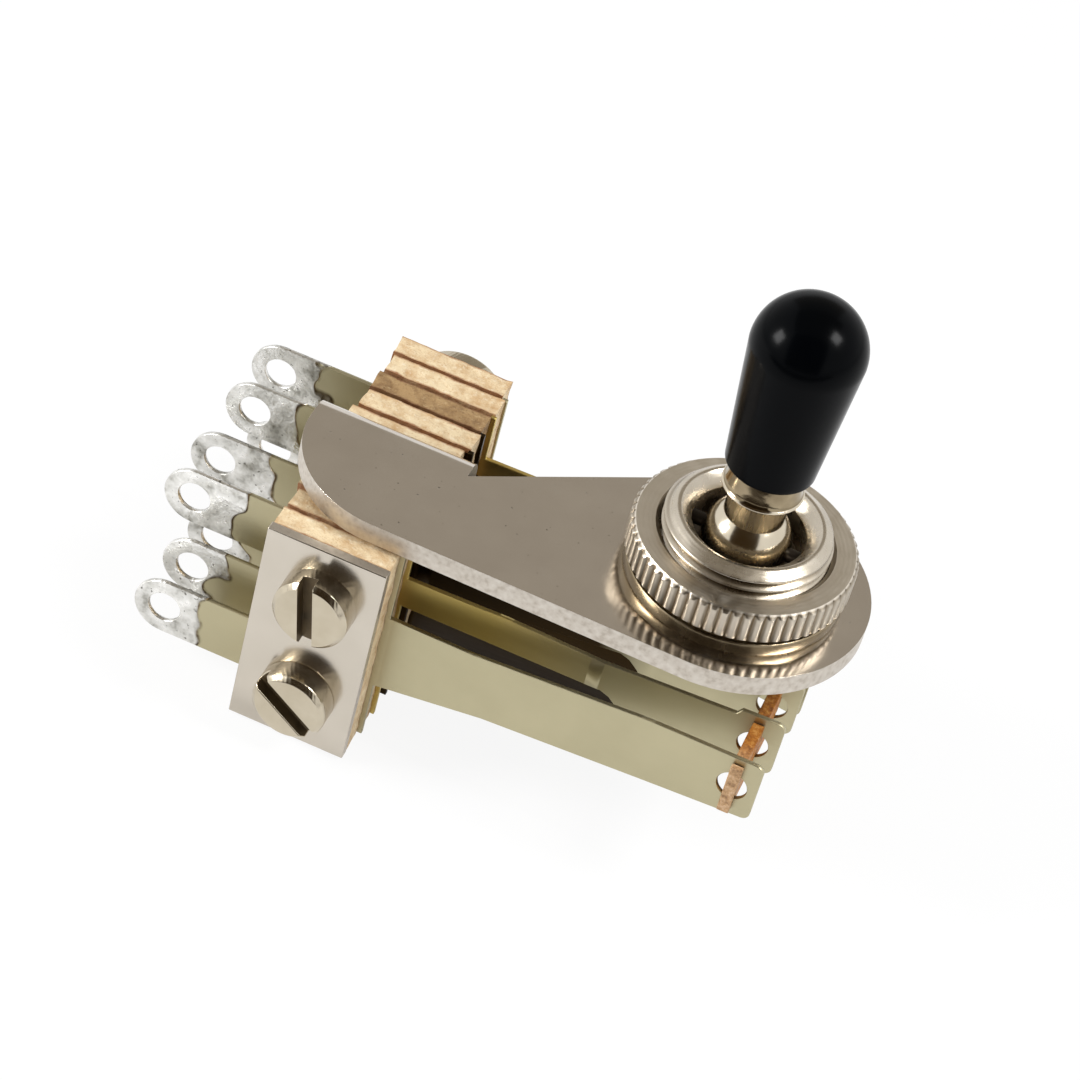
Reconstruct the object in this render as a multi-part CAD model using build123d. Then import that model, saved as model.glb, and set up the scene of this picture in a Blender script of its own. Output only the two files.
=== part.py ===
from build123d import *
from math import asin, atan2, cos, sin, sqrt
import os

os.makedirs("parts", exist_ok=True)

# Right-angle lever switch with a front and a rear pole of leaf springs.
# The origin is on the bushing's axis, on the top face of the frame plate.
# Z runs up the bushing, X runs along the leaves away from the clamped stack,
# and the front pole is on the -Y side. Sizes are in millimetres.

# Frame plate and its folded tab
PLATE_T = 1.6
ROUND_END_RIM = 3.8
ARM_NARROWING = 0.3
ARM_CORNER_R = 8.0
TAB_EDGE_LEFT = 1.6
TAB_EDGE_RIGHT = 1.3
TAB_FRONT_Y = -0.1
BEND_INNER_R = 0.3
RELIEF_Y = -1.2

# Bushing, nut and washer
THREAD_R = 5.95
BUSHING_TOP_Z = 5.5
THREAD_END_BEVEL = 0.85
MOUTH_WALL = 1.05
SOCKET_WALL = 1.97
SOCKET_TOP_Z = 4.6
SOCKET_FLOOR_Z = 4.12
SEAT_FIT = 0.1
SEAT_END_Z = 2.4
THROAT_R = 1.8
THROAT_Z = 1.2
FLANGE_RIM = 1.05
FLANGE_T = 1.4
PLATE_HOLE_FIT = 0.05
NUT_WALL = 1.99
NUT_BOTTOM_Z = 1.3
NUT_TOP_Z = 3.83
NUT_BEVEL = 0.25
WASHER_WALL = 1.8
WASHER_T = 1.05
WASHER_BEVEL = 0.15
NUT_BOSS_WALL = 1.25

# Lever, its cross pin and its tip
BALL_R = 2.75
BALL_Z = 3.6
NECK_R = 2.1
NECK_TOP_Z = 7.3
LIP_R = 2.87
LIP_Z = 8.3
LIP_T = 0.25
COLLAR_R = 2.7
TIP_BOTTOM_Z = 10.35
TIP_BOTTOM_R = 3.15
TIP_WIDE_Z = 20.35
TIP_WIDE_R = 3.97
TIP_BORE_R = 1.2
ROD_TOP_Z = 18.0
TAIL_R = 0.9
TAIL_END_Z = -9.9
TAIL_CAP_R = 1.35
TAIL_CAP_TOP_Z = -6.6
TAIL_CAP_END_Z = -10.2
PIN_R = 0.5
PIN_WALL = 0.95
PIN_FIT = 0.05

# Clamped stack
STACK_LEFT_X = -29.5
STACK_W = 8.8
STACK_TOP_Z = -1.9
STACK_H = 17.75
INSULATOR_T = 1.88
LEAF_T = 0.35
COVER_T = 0.8
SCREW_INSET = 4.6
SCREW_HIGH_Z = -6.4
SCREW_LOW_Z = -15.3
SCREW_R = 1.42
HEAD_R = 2.75
HEAD_H = 1.95
HEAD_BEVEL = 0.35
SLOT_W = 1.1
SLOT_DEPTH = 1.05
SLOT_OFF = 0.22
SLOT_HIGH_TURN = 9.5
SLOT_LOW_TURN = 54.0
SLEEVE_R = 1.95
SLEEVE_BORE_R = 1.5
STACK_NUT_R = 3.6
STACK_NUT_H = 2.0
SCREW_PROUD = 0.6

# Leaves
LUG_R = 2.3
LUG_HOLE_R = 1.22
BLADE_TIP_X = 7.4
SHOULDER_X = -5.4
SHOULDER_RUN = 2.0
LIFTER_X = 5.6
LIFTER_Z = -8.45
LIFTER_HOLE_R = 1.1
SHORT_TIP_X = -2.3
BODY_PROUD = 0.3
CONTACT_X = -4.2
CONTACT_Z = -7.9
CONTACT_R = 0.7
CONTACT_GAP = 0.02

# Lifters
LIFTER_T = 0.85
LIFTER_H = 4.2
LIFTER_NECK_H = 1.7
LIFTER_CLEAR = 0.08
LIFTER_HEAD = 0.45
LIFTER_TAIL = 0.3

ROUND_END_R = THREAD_R + ROUND_END_RIM
MOUTH_R = THREAD_R - MOUTH_WALL
SOCKET_R = THREAD_R - SOCKET_WALL
FLANGE_R = THREAD_R + FLANGE_RIM
NUT_R = THREAD_R + NUT_WALL
NUT_BOSS_R = THREAD_R + NUT_BOSS_WALL
WASHER_R = THREAD_R + WASHER_WALL
PIN_HALF = THREAD_R - PIN_WALL
ARM_FRONT_Y = -(ROUND_END_R - ARM_NARROWING)
TAB_REAR_Y = TAB_FRONT_Y + PLATE_T
STACK_RIGHT_X = STACK_LEFT_X + STACK_W
TAB_LEFT_X = STACK_LEFT_X - TAB_EDGE_LEFT
TAB_RIGHT_X = STACK_RIGHT_X + TAB_EDGE_RIGHT
ARM_LEFT_X = TAB_LEFT_X
SCREW_X = STACK_LEFT_X + SCREW_INSET
STACK_BOTTOM_Z = STACK_TOP_Z - STACK_H
PITCH = INSULATOR_T + LEAF_T
SCREW_Z = (SCREW_HIGH_Z, SCREW_LOW_Z)


def leaf_y(side, step):
    # step 1 is the leaf next to the tab, step 4 is the outermost one
    reach = step * PITCH - LEAF_T / 2
    if side == "front":
        return TAB_FRONT_Y - reach
    return TAB_REAR_Y + reach


COVER_BACK_Y = leaf_y("front", 4) - LEAF_T / 2 - INSULATOR_T
COVER_FACE_Y = COVER_BACK_Y - COVER_T
STACK_REAR_Y = leaf_y("rear", 4) + LEAF_T / 2 + INSULATOR_T


def prism_y(outline, y0, y1):
    # outline is a list of (x, z) points; the solid fills it from y0 to y1
    wire = Polyline(*[(x, y0, z) for x, z in outline], close=True)
    return extrude(make_face(wire), amount=y1 - y0, dir=(0, 1, 0))


def rod_y(radius, x, z, y0, y1):
    place = Plane((x, y0, z), x_dir=(1, 0, 0), z_dir=(0, 1, 0))
    return extrude(place * Circle(radius), amount=y1 - y0)


def turned(profile):
    # profile is a list of (radius, z) points turned about the bushing's axis
    wire = Polyline(*[(r, 0, z) for r, z in profile], close=True)
    return revolve(make_face(wire), Axis.Z, 360)


def box(x0, x1, y0, y1, z0, z1):
    place = Pos((x0 + x1) / 2, (y0 + y1) / 2, (z0 + z1) / 2)
    return place * Box(x1 - x0, y1 - y0, z1 - z0)


def piece(shape, name):
    export_step(shape, f"parts/{name}.step")


# The plate: a round end, a straight front edge, a rounded free corner,
# and a back edge that runs from the relief beside the tab to the round end
front_left = (ARM_LEFT_X, ARM_FRONT_Y)
back_left = (ARM_LEFT_X, TAB_FRONT_Y)
relief = (TAB_RIGHT_X, RELIEF_Y)
reach = sqrt(TAB_RIGHT_X**2 + RELIEF_Y**2)
turn = atan2(-RELIEF_Y, -TAB_RIGHT_X) + asin(ROUND_END_R / reach)
run = sqrt(reach**2 - ROUND_END_R**2)
tangent = (TAB_RIGHT_X + run * cos(turn), RELIEF_Y + run * sin(turn))
outline = Polyline(
    (0, -ROUND_END_R),
    (-14.0, ARM_FRONT_Y - 0.05),
    front_left,
    back_left,
    (TAB_RIGHT_X, TAB_FRONT_Y),
    relief,
    tangent,
    (0, 0),
    close=True,
)
arm = make_face(outline)
corner = [v for v in arm.vertices() if abs(v.X - ARM_LEFT_X) < 0.01 and v.Y < -5]
arm = fillet(corner, ARM_CORNER_R)
plate_face = arm + Circle(ROUND_END_R)
plate = extrude(plate_face, amount=-PLATE_T)

# The fold: a quarter turn from the plate's level down to the upright tab
fold_y = TAB_FRONT_Y - BEND_INNER_R
fold_z = -PLATE_T - BEND_INNER_R
outer = BEND_INNER_R + PLATE_T
fold_place = Plane((TAB_LEFT_X, fold_y, fold_z), x_dir=(0, 1, 0), z_dir=(1, 0, 0))
ring = fold_place * (Circle(outer) - Circle(BEND_INNER_R))
fold = extrude(ring, amount=TAB_RIGHT_X - TAB_LEFT_X)
fold = fold & box(TAB_LEFT_X, TAB_RIGHT_X, fold_y, 5, fold_z, 1)
plate = plate - box(TAB_LEFT_X - 1, TAB_RIGHT_X, fold_y, 5, -5, 1)
tab_outline = [
    (TAB_LEFT_X, fold_z),
    (TAB_LEFT_X, fold_z - 1.0),
    (STACK_LEFT_X, fold_z - 2.6),
    (STACK_LEFT_X, STACK_BOTTOM_Z),
    (STACK_RIGHT_X, STACK_BOTTOM_Z),
    (STACK_RIGHT_X, fold_z - 2.4),
    (TAB_RIGHT_X, fold_z - 1.0),
    (TAB_RIGHT_X, fold_z),
]
tab = prism_y(tab_outline, TAB_FRONT_Y, TAB_REAR_Y)
for z in SCREW_Z:
    tab -= rod_y(SLEEVE_R + 0.05, SCREW_X, z, TAB_FRONT_Y - 1, TAB_REAR_Y + 1)
frame = plate + fold + tab
frame -= Pos(0, 0, -PLATE_T / 2) * Cylinder(THREAD_R + PLATE_HOLE_FIT, PLATE_T * 2)
piece(frame, "frame_plate")

# The bushing: threaded barrel, flange under the plate, coned mouth, a step
# round the ball's seat, and a throat that flares so the tail can swing
throat_out_r = THROAT_R + 1.1
barrel = turned([
    (0, -PLATE_T - FLANGE_T),
    (FLANGE_R, -PLATE_T - FLANGE_T),
    (FLANGE_R, -PLATE_T),
    (THREAD_R, -PLATE_T),
    (THREAD_R, BUSHING_TOP_Z - 0.55),
    (THREAD_R - THREAD_END_BEVEL, BUSHING_TOP_Z),
    (0, BUSHING_TOP_Z),
])
socket = turned([
    (0, BUSHING_TOP_Z + 0.1),
    (MOUTH_R, BUSHING_TOP_Z + 0.1),
    (MOUTH_R, BUSHING_TOP_Z),
    (SOCKET_R, SOCKET_TOP_Z),
    (SOCKET_R, SOCKET_FLOOR_Z),
    (BALL_R + SEAT_FIT, SOCKET_FLOOR_Z),
    (BALL_R + SEAT_FIT, SEAT_END_Z),
    (THROAT_R, THROAT_Z + 0.2),
    (THROAT_R, THROAT_Z - 0.2),
    (throat_out_r, -PLATE_T - FLANGE_T),
    (throat_out_r, -PLATE_T - FLANGE_T - 1),
    (0, -PLATE_T - FLANGE_T - 1),
])
pin_place = Plane((-PIN_HALF - 0.1, 0, BALL_Z), x_dir=(0, 1, 0), z_dir=(1, 0, 0))
pin_hole = extrude(pin_place * Circle(PIN_R + PIN_FIT), amount=2 * PIN_HALF + 0.2)
bushing = barrel - socket - pin_hole
piece(bushing, "bushing")

washer = turned([
    (THREAD_R + 0.1, 0),
    (WASHER_R, 0),
    (WASHER_R, WASHER_T - WASHER_BEVEL),
    (WASHER_R - WASHER_BEVEL, WASHER_T),
    (THREAD_R + 0.1, WASHER_T),
])
piece(washer, "bushing_washer")

nut = turned([
    (THREAD_R, WASHER_T),
    (NUT_BOSS_R, WASHER_T),
    (NUT_BOSS_R, NUT_BOTTOM_Z),
    (NUT_R - NUT_BEVEL, NUT_BOTTOM_Z),
    (NUT_R, NUT_BOTTOM_Z + NUT_BEVEL),
    (NUT_R, NUT_TOP_Z - NUT_BEVEL),
    (NUT_R - NUT_BEVEL, NUT_TOP_Z),
    (THREAD_R, NUT_TOP_Z),
])
piece(nut, "bushing_nut")

# The lever: rod, collar and lip over a flared neck, ball, and tail
lever = turned([
    (0, TAIL_END_Z),
    (TAIL_R, TAIL_END_Z),
    (TAIL_R, BALL_Z),
    (NECK_R, BALL_Z),
    (NECK_R, NECK_TOP_Z),
    (NECK_R + 0.15, NECK_TOP_Z + 0.5),
    (LIP_R, LIP_Z),
    (LIP_R, LIP_Z + LIP_T),
    (COLLAR_R, LIP_Z + LIP_T + 0.3),
    (COLLAR_R, TIP_BOTTOM_Z),
    (TIP_BORE_R, TIP_BOTTOM_Z),
    (TIP_BORE_R, ROD_TOP_Z),
    (0, ROD_TOP_Z),
])
lever = lever + Pos(0, 0, BALL_Z) * Sphere(BALL_R)
lever -= extrude(pin_place * Circle(PIN_R + PIN_FIT), amount=2 * PIN_HALF + 0.2)
piece(lever, "lever")

pin_start = Plane((-PIN_HALF, 0, BALL_Z), x_dir=(0, 1, 0), z_dir=(1, 0, 0))
piece(extrude(pin_start * Circle(PIN_R), amount=2 * PIN_HALF), "pivot_pin")

cap = turned([
    (TAIL_R, TAIL_CAP_TOP_Z),
    (TAIL_CAP_R - 0.3, TAIL_CAP_TOP_Z),
    (TAIL_CAP_R, TAIL_CAP_TOP_Z - 0.5),
    (TAIL_CAP_R, TAIL_CAP_END_Z + 0.4),
    (TAIL_CAP_R - 0.4, TAIL_CAP_END_Z),
    (0, TAIL_CAP_END_Z),
    (0, TAIL_END_Z),
    (TAIL_R, TAIL_END_Z),
])
piece(cap, "lever_tail_cap")

# The tip: a tapered handle with a round end, bored for the rod
taper = turned([
    (0, TIP_BOTTOM_Z),
    (TIP_BOTTOM_R - 0.25, TIP_BOTTOM_Z),
    (TIP_BOTTOM_R, TIP_BOTTOM_Z + 0.3),
    (TIP_WIDE_R, TIP_WIDE_Z),
    (0, TIP_WIDE_Z),
])
rod_bore = turned([
    (0, TIP_BOTTOM_Z - 1),
    (TIP_BORE_R, TIP_BOTTOM_Z - 1),
    (TIP_BORE_R, ROD_TOP_Z),
    (0, ROD_TOP_Z),
])
tip = taper + Pos(0, 0, TIP_WIDE_Z) * Sphere(TIP_WIDE_R) - rod_bore
piece(tip, "lever_tip")

# Cover plate, screws, nuts and sleeves
cover = box(STACK_LEFT_X, STACK_RIGHT_X, COVER_FACE_Y, COVER_BACK_Y, STACK_BOTTOM_Z, STACK_TOP_Z)
for z in SCREW_Z:
    cover -= rod_y(SCREW_R + 0.1, SCREW_X, z, COVER_FACE_Y - 1, COVER_BACK_Y + 1)
piece(cover, "cover_plate")

screw_end_y = STACK_REAR_Y + STACK_NUT_H + SCREW_PROUD
head_place = Plane((SCREW_X, COVER_FACE_Y, 0), x_dir=(1, 0, 0), z_dir=(0, -1, 0))
head = extrude(head_place * Circle(HEAD_R), amount=HEAD_H)
rim = head.edges().filter_by(GeomType.CIRCLE).sort_by(Axis.Y)[0]
head = chamfer(rim, HEAD_BEVEL)
slot = box(
    SCREW_X - SLOT_OFF - SLOT_W / 2,
    SCREW_X - SLOT_OFF + SLOT_W / 2,
    COVER_FACE_Y - HEAD_H - 1,
    COVER_FACE_Y - HEAD_H + SLOT_DEPTH,
    -HEAD_R * 1.5,
    HEAD_R * 1.5,
)
slot_axis = Axis((SCREW_X, 0, 0), (0, 1, 0))
for name, z, turn in (
    ("upper_stack_screw", SCREW_HIGH_Z, SLOT_HIGH_TURN),
    ("lower_stack_screw", SCREW_LOW_Z, SLOT_LOW_TURN),
):
    cut = slot.rotate(slot_axis, -turn)
    shank = rod_y(SCREW_R, SCREW_X, 0, COVER_FACE_Y, screw_end_y)
    piece(Pos(0, 0, z) * (head - cut + shank), name)

nut_place = Plane((SCREW_X, STACK_REAR_Y, 0), x_dir=(1, 0, 0), z_dir=(0, 1, 0))
stack_nut = extrude(nut_place * (Circle(STACK_NUT_R) - Circle(SCREW_R)), amount=STACK_NUT_H)
piece(Pos(0, 0, SCREW_HIGH_Z) * stack_nut, "upper_stack_nut")
piece(Pos(0, 0, SCREW_LOW_Z) * stack_nut, "lower_stack_nut")

sleeve = rod_y(SLEEVE_R, SCREW_X, 0, COVER_BACK_Y, STACK_REAR_Y)
sleeve -= rod_y(SLEEVE_BORE_R, SCREW_X, 0, COVER_BACK_Y - 1, STACK_REAR_Y + 1)
piece(Pos(0, 0, SCREW_HIGH_Z) * sleeve, "upper_screw_sleeve")
piece(Pos(0, 0, SCREW_LOW_Z) * sleeve, "lower_screw_sleeve")

# Insulating plates: five on each side of the tab, each a little off line
SHIFT_FRONT = (0.0, 0.12, -0.1, 0.08, 0.0)
SHIFT_REAR = (-0.25, 0.1, 0.0, 0.2, -0.1)


def insulator(y0, shift):
    left = STACK_LEFT_X + shift
    right = STACK_RIGHT_X + shift
    block = box(left, right, y0, y0 + INSULATOR_T, STACK_BOTTOM_Z, STACK_TOP_Z)
    for z in SCREW_Z:
        block -= rod_y(SLEEVE_R + 0.02, SCREW_X, z, y0 - 1, y0 + INSULATOR_T + 1)
    return block


for step in range(5):
    front_y0 = TAB_FRONT_Y - step * PITCH - INSULATOR_T
    rear_y0 = TAB_REAR_Y + step * PITCH
    piece(insulator(front_y0, SHIFT_FRONT[step]), f"front_insulator_{step + 1}")
    piece(insulator(rear_y0, SHIFT_REAR[step]), f"rear_insulator_{step + 1}")


# Leaves. A leaf is cut from sheet as one piece: a solder lug, a body clamped
# in the stack and a blade. Its outline is drawn in x and z, and its course
# seen from above is a list of (x, y) bends.
def sheet(way):
    half = LEAF_T / 2
    near = [(x, y - half, STACK_BOTTOM_Z - 1) for x, y in way]
    far = [(x, y + half, STACK_BOTTOM_Z - 1) for x, y in reversed(way)]
    return extrude(make_face(Polyline(*near, *far, close=True)), amount=STACK_H + 2)


def course_y(way, x):
    for (x0, y0), (x1, y1) in zip(way, way[1:]):
        if x0 <= x <= x1:
            return y0 + (y1 - y0) * (x - x0) / (x1 - x0)


def leaf(way, lug, blade, holes):
    lug_x, lug_z = lug
    y0 = min(y for x, y in way) - 2
    y1 = max(y for x, y in way) + 2
    body_top = STACK_TOP_Z - 0.15
    body_bottom = STACK_BOTTOM_Z + 0.3
    body = [
        (STACK_LEFT_X + 0.3, body_bottom),
        (STACK_RIGHT_X + BODY_PROUD, body_bottom),
        (STACK_RIGHT_X + BODY_PROUD, body_top),
        (STACK_LEFT_X + 0.3, body_top),
    ]
    tail = [
        (lug_x, lug_z - LUG_R),
        (STACK_LEFT_X + 1, lug_z - LUG_R),
        (STACK_LEFT_X + 1, lug_z + LUG_R),
        (lug_x, lug_z + LUG_R),
    ]
    flat = prism_y(body, y0, y1) + prism_y(tail, y0, y1) + blade_solid(blade, y0, y1)
    flat += rod_y(LUG_R, lug_x, lug_z, y0, y1)
    flat -= rod_y(LUG_HOLE_R, lug_x, lug_z, y0 - 1, y1 + 1)
    for z in SCREW_Z:
        flat -= rod_y(SLEEVE_R + 0.02, SCREW_X, z, y0 - 1, y1 + 1)
    for x, z, r in holes:
        flat -= rod_y(r, x, z, y0 - 1, y1 + 1)
    return sheet(way) & flat


def blade_solid(blade, y0, y1):
    solid = prism_y(blade, y0, y1)
    tip_x = max(x for x, z in blade)
    ends = [e for e in solid.edges().filter_by(Axis.Y) if e.center().X > tip_x - 0.01]
    return fillet(ends, 0.6)


# Outer leaf: wide at the root, tapering to the tip
WIDE_BLADE = [
    (STACK_RIGHT_X - 1, -7.9),
    (-14.0, -7.65),
    (-1.2, -6.2),
    (BLADE_TIP_X, -5.8),
    (BLADE_TIP_X, -10.8),
    (-0.5, -11.6),
    (-12.4, -12.9),
    (STACK_RIGHT_X, -14.5),
    (STACK_RIGHT_X - 1, -14.6),
]
# Middle leaves: a narrow arm that widens downwards into a paddle
PADDLE_BLADE = [
    (STACK_RIGHT_X - 1, -5.9),
    (-13.0, -5.7),
    (3.9, -6.2),
    (4.2, -5.75),
    (BLADE_TIP_X, -5.9),
    (BLADE_TIP_X, -10.7),
    (SHOULDER_X + SHOULDER_RUN, -10.5),
    (SHOULDER_X + SHOULDER_RUN * 0.7, -9.5),
    (SHOULDER_X + SHOULDER_RUN * 0.35, -8.8),
    (SHOULDER_X, -8.45),
    (STACK_RIGHT_X - 1, -8.45),
]
# Inner leaf: a deep stiff arm that stays still and holds a contact
SHORT_BLADE = [
    (STACK_RIGHT_X - 1, -6.0),
    (SHORT_TIP_X, -6.3),
    (SHORT_TIP_X, -14.2),
    (STACK_RIGHT_X - 1, -14.7),
]
LIFTER_HOLE = (LIFTER_X, LIFTER_Z, LIFTER_HOLE_R)

# Solder lugs: how far each eye stands out from the stack, and its z, from the
# tab outwards
FRONT_LUGS = ((6.2, -13.75), (7.75, -8.8), (6.2, -12.95), (6.95, -15.5))
REAR_LUGS = ((8.9, -11.95), (7.75, -8.2), (6.3, -12.9), (7.75, -7.85))

# Blade courses: where each blade is bent and where its tip stands
ROOT_X = STACK_RIGHT_X + BODY_PROUD + 0.2
FRONT_TIPS = (-1.1, -1.0, -5.4, -10.2)
REAR_TIPS = (1.1, 1.0, 5.4, 10.2)
BEND_2_X = -4.7
BEND_2_Y = 2.3


def course(side, step, lug_x):
    y = leaf_y(side, step)
    sign = -1 if side == "front" else 1
    tips = FRONT_TIPS if side == "front" else REAR_TIPS
    start = [(lug_x - LUG_R - 1, y), (ROOT_X, y)]
    if step == 1:
        return start + [(SHORT_TIP_X + 0.5, tips[0])]
    if step == 2:
        return start + [(BEND_2_X, sign * BEND_2_Y), (BLADE_TIP_X + 0.5, tips[1])]
    if step == 3:
        return start + [(BEND_2_X - 1.0, y), (BLADE_TIP_X + 0.5, tips[2])]
    return start + [(BLADE_TIP_X + 0.5, tips[3])]


BLADES = (SHORT_BLADE, PADDLE_BLADE, PADDLE_BLADE, WIDE_BLADE)
LEAF_NAMES = ("inner_fixed_leaf", "inner_spring_leaf", "middle_spring_leaf", "outer_spring_leaf")
courses = {}
leaves = {}
for side, lugs in (("front", FRONT_LUGS), ("rear", REAR_LUGS)):
    for step in (1, 2, 3, 4):
        reach, lug_z = lugs[step - 1]
        lug = (STACK_LEFT_X - reach, lug_z)
        way = course(side, step, lug[0])
        courses[side, step] = way
        holes = [] if step == 1 else [LIFTER_HOLE]
        leaves[side, step] = leaf(way, lug, BLADES[step - 1], holes)
        piece(leaves[side, step], f"{side}_{LEAF_NAMES[step - 1]}")

# Contact points: a domed point on the spring leaf meets one on the fixed leaf
for side, sign in (("front", -1), ("rear", 1)):
    fixed_face = course_y(courses[side, 1], CONTACT_X) + sign * LEAF_T / 2
    spring_face = course_y(courses[side, 2], CONTACT_X) - sign * LEAF_T / 2
    middle = (fixed_face + spring_face) / 2
    fixed_end = middle - sign * CONTACT_GAP / 2
    spring_end = middle + sign * CONTACT_GAP / 2
    fixed_from = fixed_face - sign * LEAF_T / 2
    spring_from = spring_face + sign * LEAF_T / 2
    low, high = sorted((fixed_from, fixed_end))
    fixed_point = rod_y(CONTACT_R, CONTACT_X, CONTACT_Z, low, high)
    low, high = sorted((spring_from, spring_end))
    spring_point = rod_y(CONTACT_R, CONTACT_X, CONTACT_Z, low, high)
    fixed_point -= leaves[side, 1]
    spring_point -= leaves[side, 2]
    piece(fixed_point, f"{side}_fixed_contact")
    piece(spring_point, f"{side}_spring_contact")

# Lifters: a strip that stands on edge, full height between the leaves and
# narrowed to a neck through each leaf's round hole
for side, sign in (("front", -1), ("rear", 1)):
    ys = [course_y(courses[side, step], LIFTER_X) for step in (2, 3, 4)]
    face = LEAF_T / 2 + LIFTER_CLEAR
    x0 = LIFTER_X - LIFTER_T / 2
    x1 = LIFTER_X + LIFTER_T / 2
    ends = sorted((ys[0] - sign * (LEAF_T / 2 + LIFTER_TAIL), ys[2] + sign * (face + LIFTER_HEAD)))
    neck_z = LIFTER_NECK_H / 2
    lifter = box(x0, x1, ends[0], ends[1], LIFTER_Z - neck_z, LIFTER_Z + neck_z)
    spans = (
        (ys[0] + sign * face, ys[1] - sign * face),
        (ys[1] + sign * face, ys[2] - sign * face),
        (ys[2] + sign * face, ys[2] + sign * (face + LIFTER_HEAD)),
    )
    for span in spans:
        low, high = sorted(span)
        lifter += box(x0, x1, low, high, LIFTER_Z - LIFTER_H / 2, LIFTER_Z + LIFTER_H / 2)
    piece(lifter, f"{side}_lifter")
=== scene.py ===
from math import atan2, ceil, cos, hypot, pi, radians, sin

import bmesh
import bpy
from mathutils import Matrix, Vector, noise


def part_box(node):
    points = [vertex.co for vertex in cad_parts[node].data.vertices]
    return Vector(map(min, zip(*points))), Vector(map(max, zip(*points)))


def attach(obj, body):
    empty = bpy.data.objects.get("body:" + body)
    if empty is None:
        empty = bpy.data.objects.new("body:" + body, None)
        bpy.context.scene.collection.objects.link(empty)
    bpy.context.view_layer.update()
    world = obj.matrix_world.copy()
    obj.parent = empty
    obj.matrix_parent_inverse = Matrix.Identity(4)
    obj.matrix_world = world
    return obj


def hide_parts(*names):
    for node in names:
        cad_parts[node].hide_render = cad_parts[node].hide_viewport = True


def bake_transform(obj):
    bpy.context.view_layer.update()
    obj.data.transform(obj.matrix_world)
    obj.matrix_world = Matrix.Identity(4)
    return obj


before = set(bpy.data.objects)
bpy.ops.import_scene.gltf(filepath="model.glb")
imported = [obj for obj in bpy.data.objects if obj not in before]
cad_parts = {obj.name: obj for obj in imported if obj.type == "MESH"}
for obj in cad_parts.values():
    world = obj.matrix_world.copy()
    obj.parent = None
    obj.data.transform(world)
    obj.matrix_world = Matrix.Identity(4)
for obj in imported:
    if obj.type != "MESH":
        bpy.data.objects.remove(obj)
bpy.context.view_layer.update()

# One millimetre in the frame's metres
MM = 0.001

# Sizes in millimetres that the making below shares. Heights count from the top
# face of the plate, and the bushing axis stands at x 0, y 0.
THREAD_R = 5.95
THREAD_PITCH = 0.794
THREAD_DEPTH = 0.46
BUSHING_TOP_Z = 5.5
THREAD_END_Z = BUSHING_TOP_Z - 0.55
SOCKET_R = 3.98
SOCKET_FLOOR_Z = 2.4
WASHER_R = 7.75
WASHER_TOP_Z = 1.05
NUT_R = 7.94
NUT_TOP_Z = 3.83
KNURLS = 62
KNURL_DEPTH = 0.26
BALL_Z = 3.6
BALL_R = 3.15
SEAT_R = 2.75
NECK_R = 2.1
ROD_R = 1.2
ROD_TOP_Z = 18.0
TIP_BOTTOM_Z = 10.35
TIP_BOTTOM_R = 3.15
TIP_WIDE_Z = 20.35
TIP_WIDE_R = 3.97
PLATE_T = 1.6
STACK_LEFT_X = -29.5
STACK_RIGHT_X = -20.7
STACK_TOP_Z = -1.9
TAB_FRONT_Y = -0.1
TAB_REAR_Y = 1.5
PLATE_PITCH = 2.23
FLOOR_Z = -20.05

# A face belongs to a sheet's cut rim when less than this share of its normal
# points out of the sheet
RIM_LEAN = 0.2

# Axes of a place in space
X, Y, Z = 0, 1, 2


# Finishes


def tone(hex_colour):
    # an sRGB hex colour as the linear colour that the shaders take
    def linear(value):
        value /= 255
        return value / 12.92 if value <= 0.04045 else ((value + 0.055) / 1.055) ** 2.4

    parts = [int(hex_colour[i:i + 2], 16) for i in (1, 3, 5)]
    return (*[linear(part) for part in parts], 1.0)


def grey(value):
    # a plain grey, also for a number that a colour node carries
    return (value, value, value, 1.0)


def add(tree, kind, feeds=None, stops=(), **settings):
    # adds one node with its settings and colour stops; each socket in feeds
    # takes a value, or is linked to the output given for it. A colour mix has
    # its share at socket 0, its two colours at 6 and 7 and its result at 2.
    node = tree.nodes.new("ShaderNode" + kind)
    for name, value in settings.items():
        setattr(node, name, value)
    while stops and len(node.color_ramp.elements) < len(stops):
        node.color_ramp.elements.new(0.5)
    for index, (place, colour) in enumerate(stops):
        node.color_ramp.elements[index].position = place
        node.color_ramp.elements[index].color = colour
    for socket, value in (feeds or {}).items():
        if isinstance(value, bpy.types.NodeSocket):
            tree.links.new(value, node.inputs[socket])
        else:
            node.inputs[socket].default_value = value
    return node.outputs


def new_finish(name):
    # an empty material, and the place on the piece that its patterns follow. A
    # pattern with the scale 1000 / 5.0 has spots about 5 mm wide.
    material = bpy.data.materials.new(name)
    material.use_nodes = True
    tree = material.node_tree
    tree.nodes.clear()
    return material, tree, add(tree, "TexCoord")["Object"]


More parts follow.
